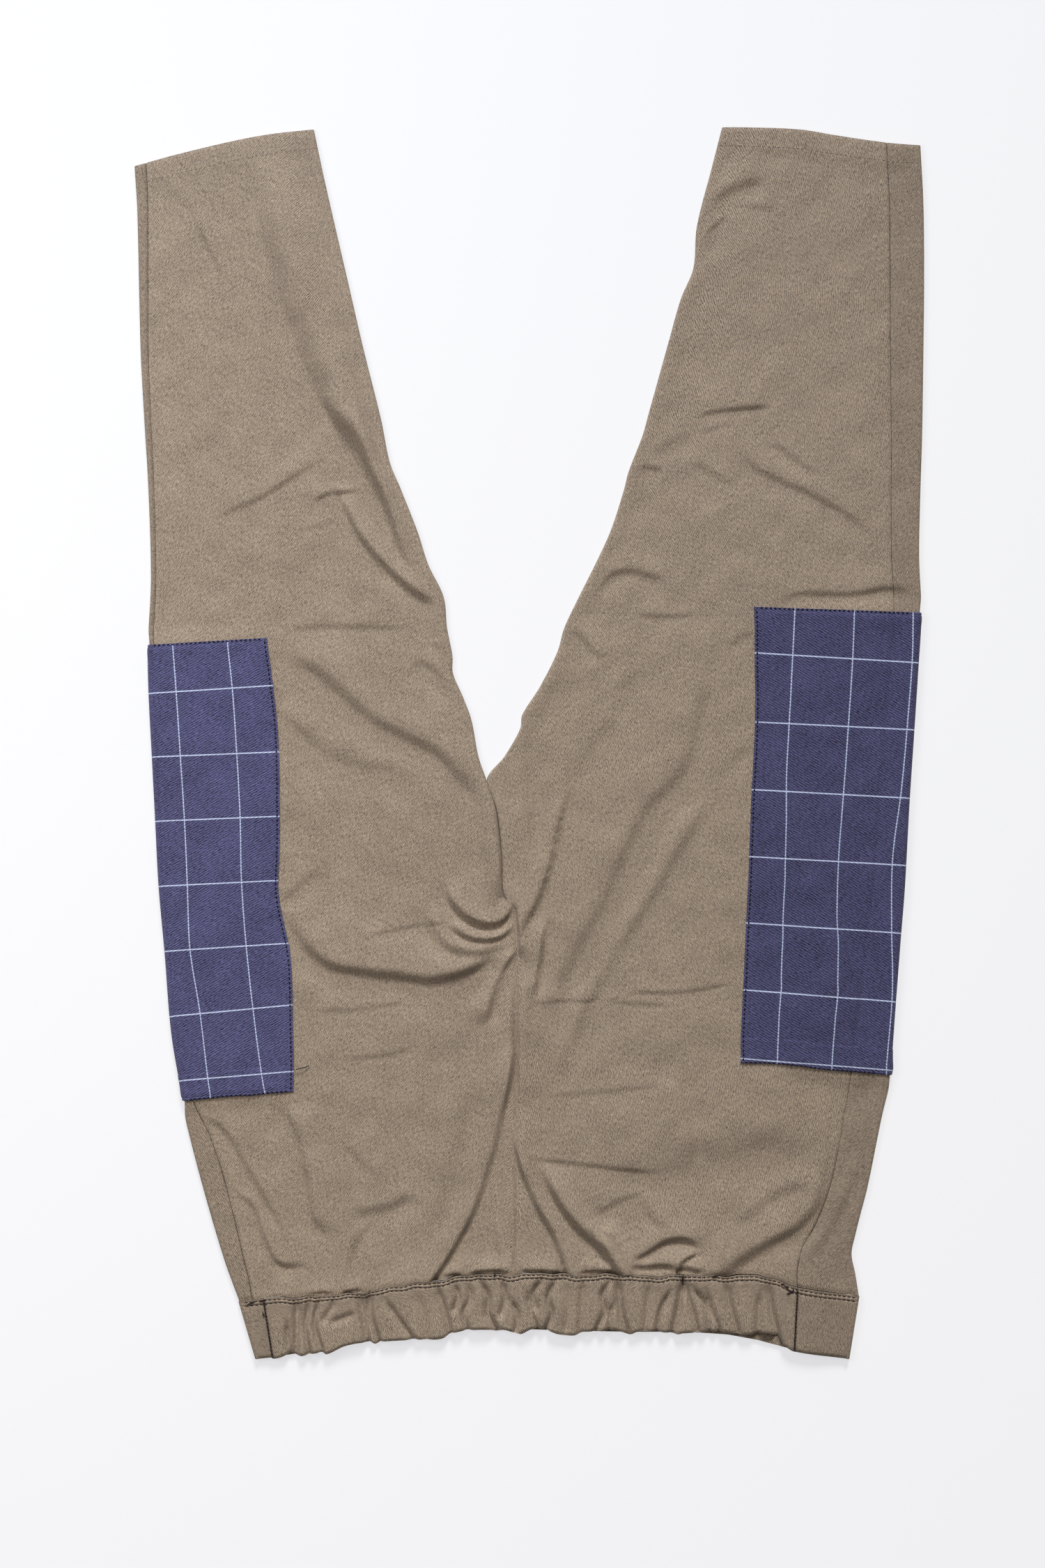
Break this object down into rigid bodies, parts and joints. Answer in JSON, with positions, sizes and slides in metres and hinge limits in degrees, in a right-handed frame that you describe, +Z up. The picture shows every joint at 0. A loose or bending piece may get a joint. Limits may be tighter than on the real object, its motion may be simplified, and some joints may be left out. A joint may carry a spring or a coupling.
{
  "type": "patch pocket trousers",
  "caption": "Pull-on cotton drill trousers lying flat, back uppermost, with a gathered elastic back waist and large checked patch pockets.",
  "frame": {"origin": "on the resting surface, below the middle of the garment's bounding box", "axes": "+Z up from the surface, -Y towards the waist, +Y towards the hems, +X towards the wearer's left leg"},
  "size_m": [0.5888, 0.9175, 0.0089],
  "materials": {
    "drill": "matt olive twill",
    "pocket_check": "matt navy twill with a thin pale window-pane check"
  },
  "bodies": {
    "root": {"back_leg_right": "drill", "back_leg_left": "drill", "front_leg_right": "drill", "front_leg_left": "drill", "waistband_back": "drill", "waistband_front": "drill", "patch_pocket_right": "pocket_check", "patch_pocket_left": "pocket_check"}
  },
  "joints": []
}
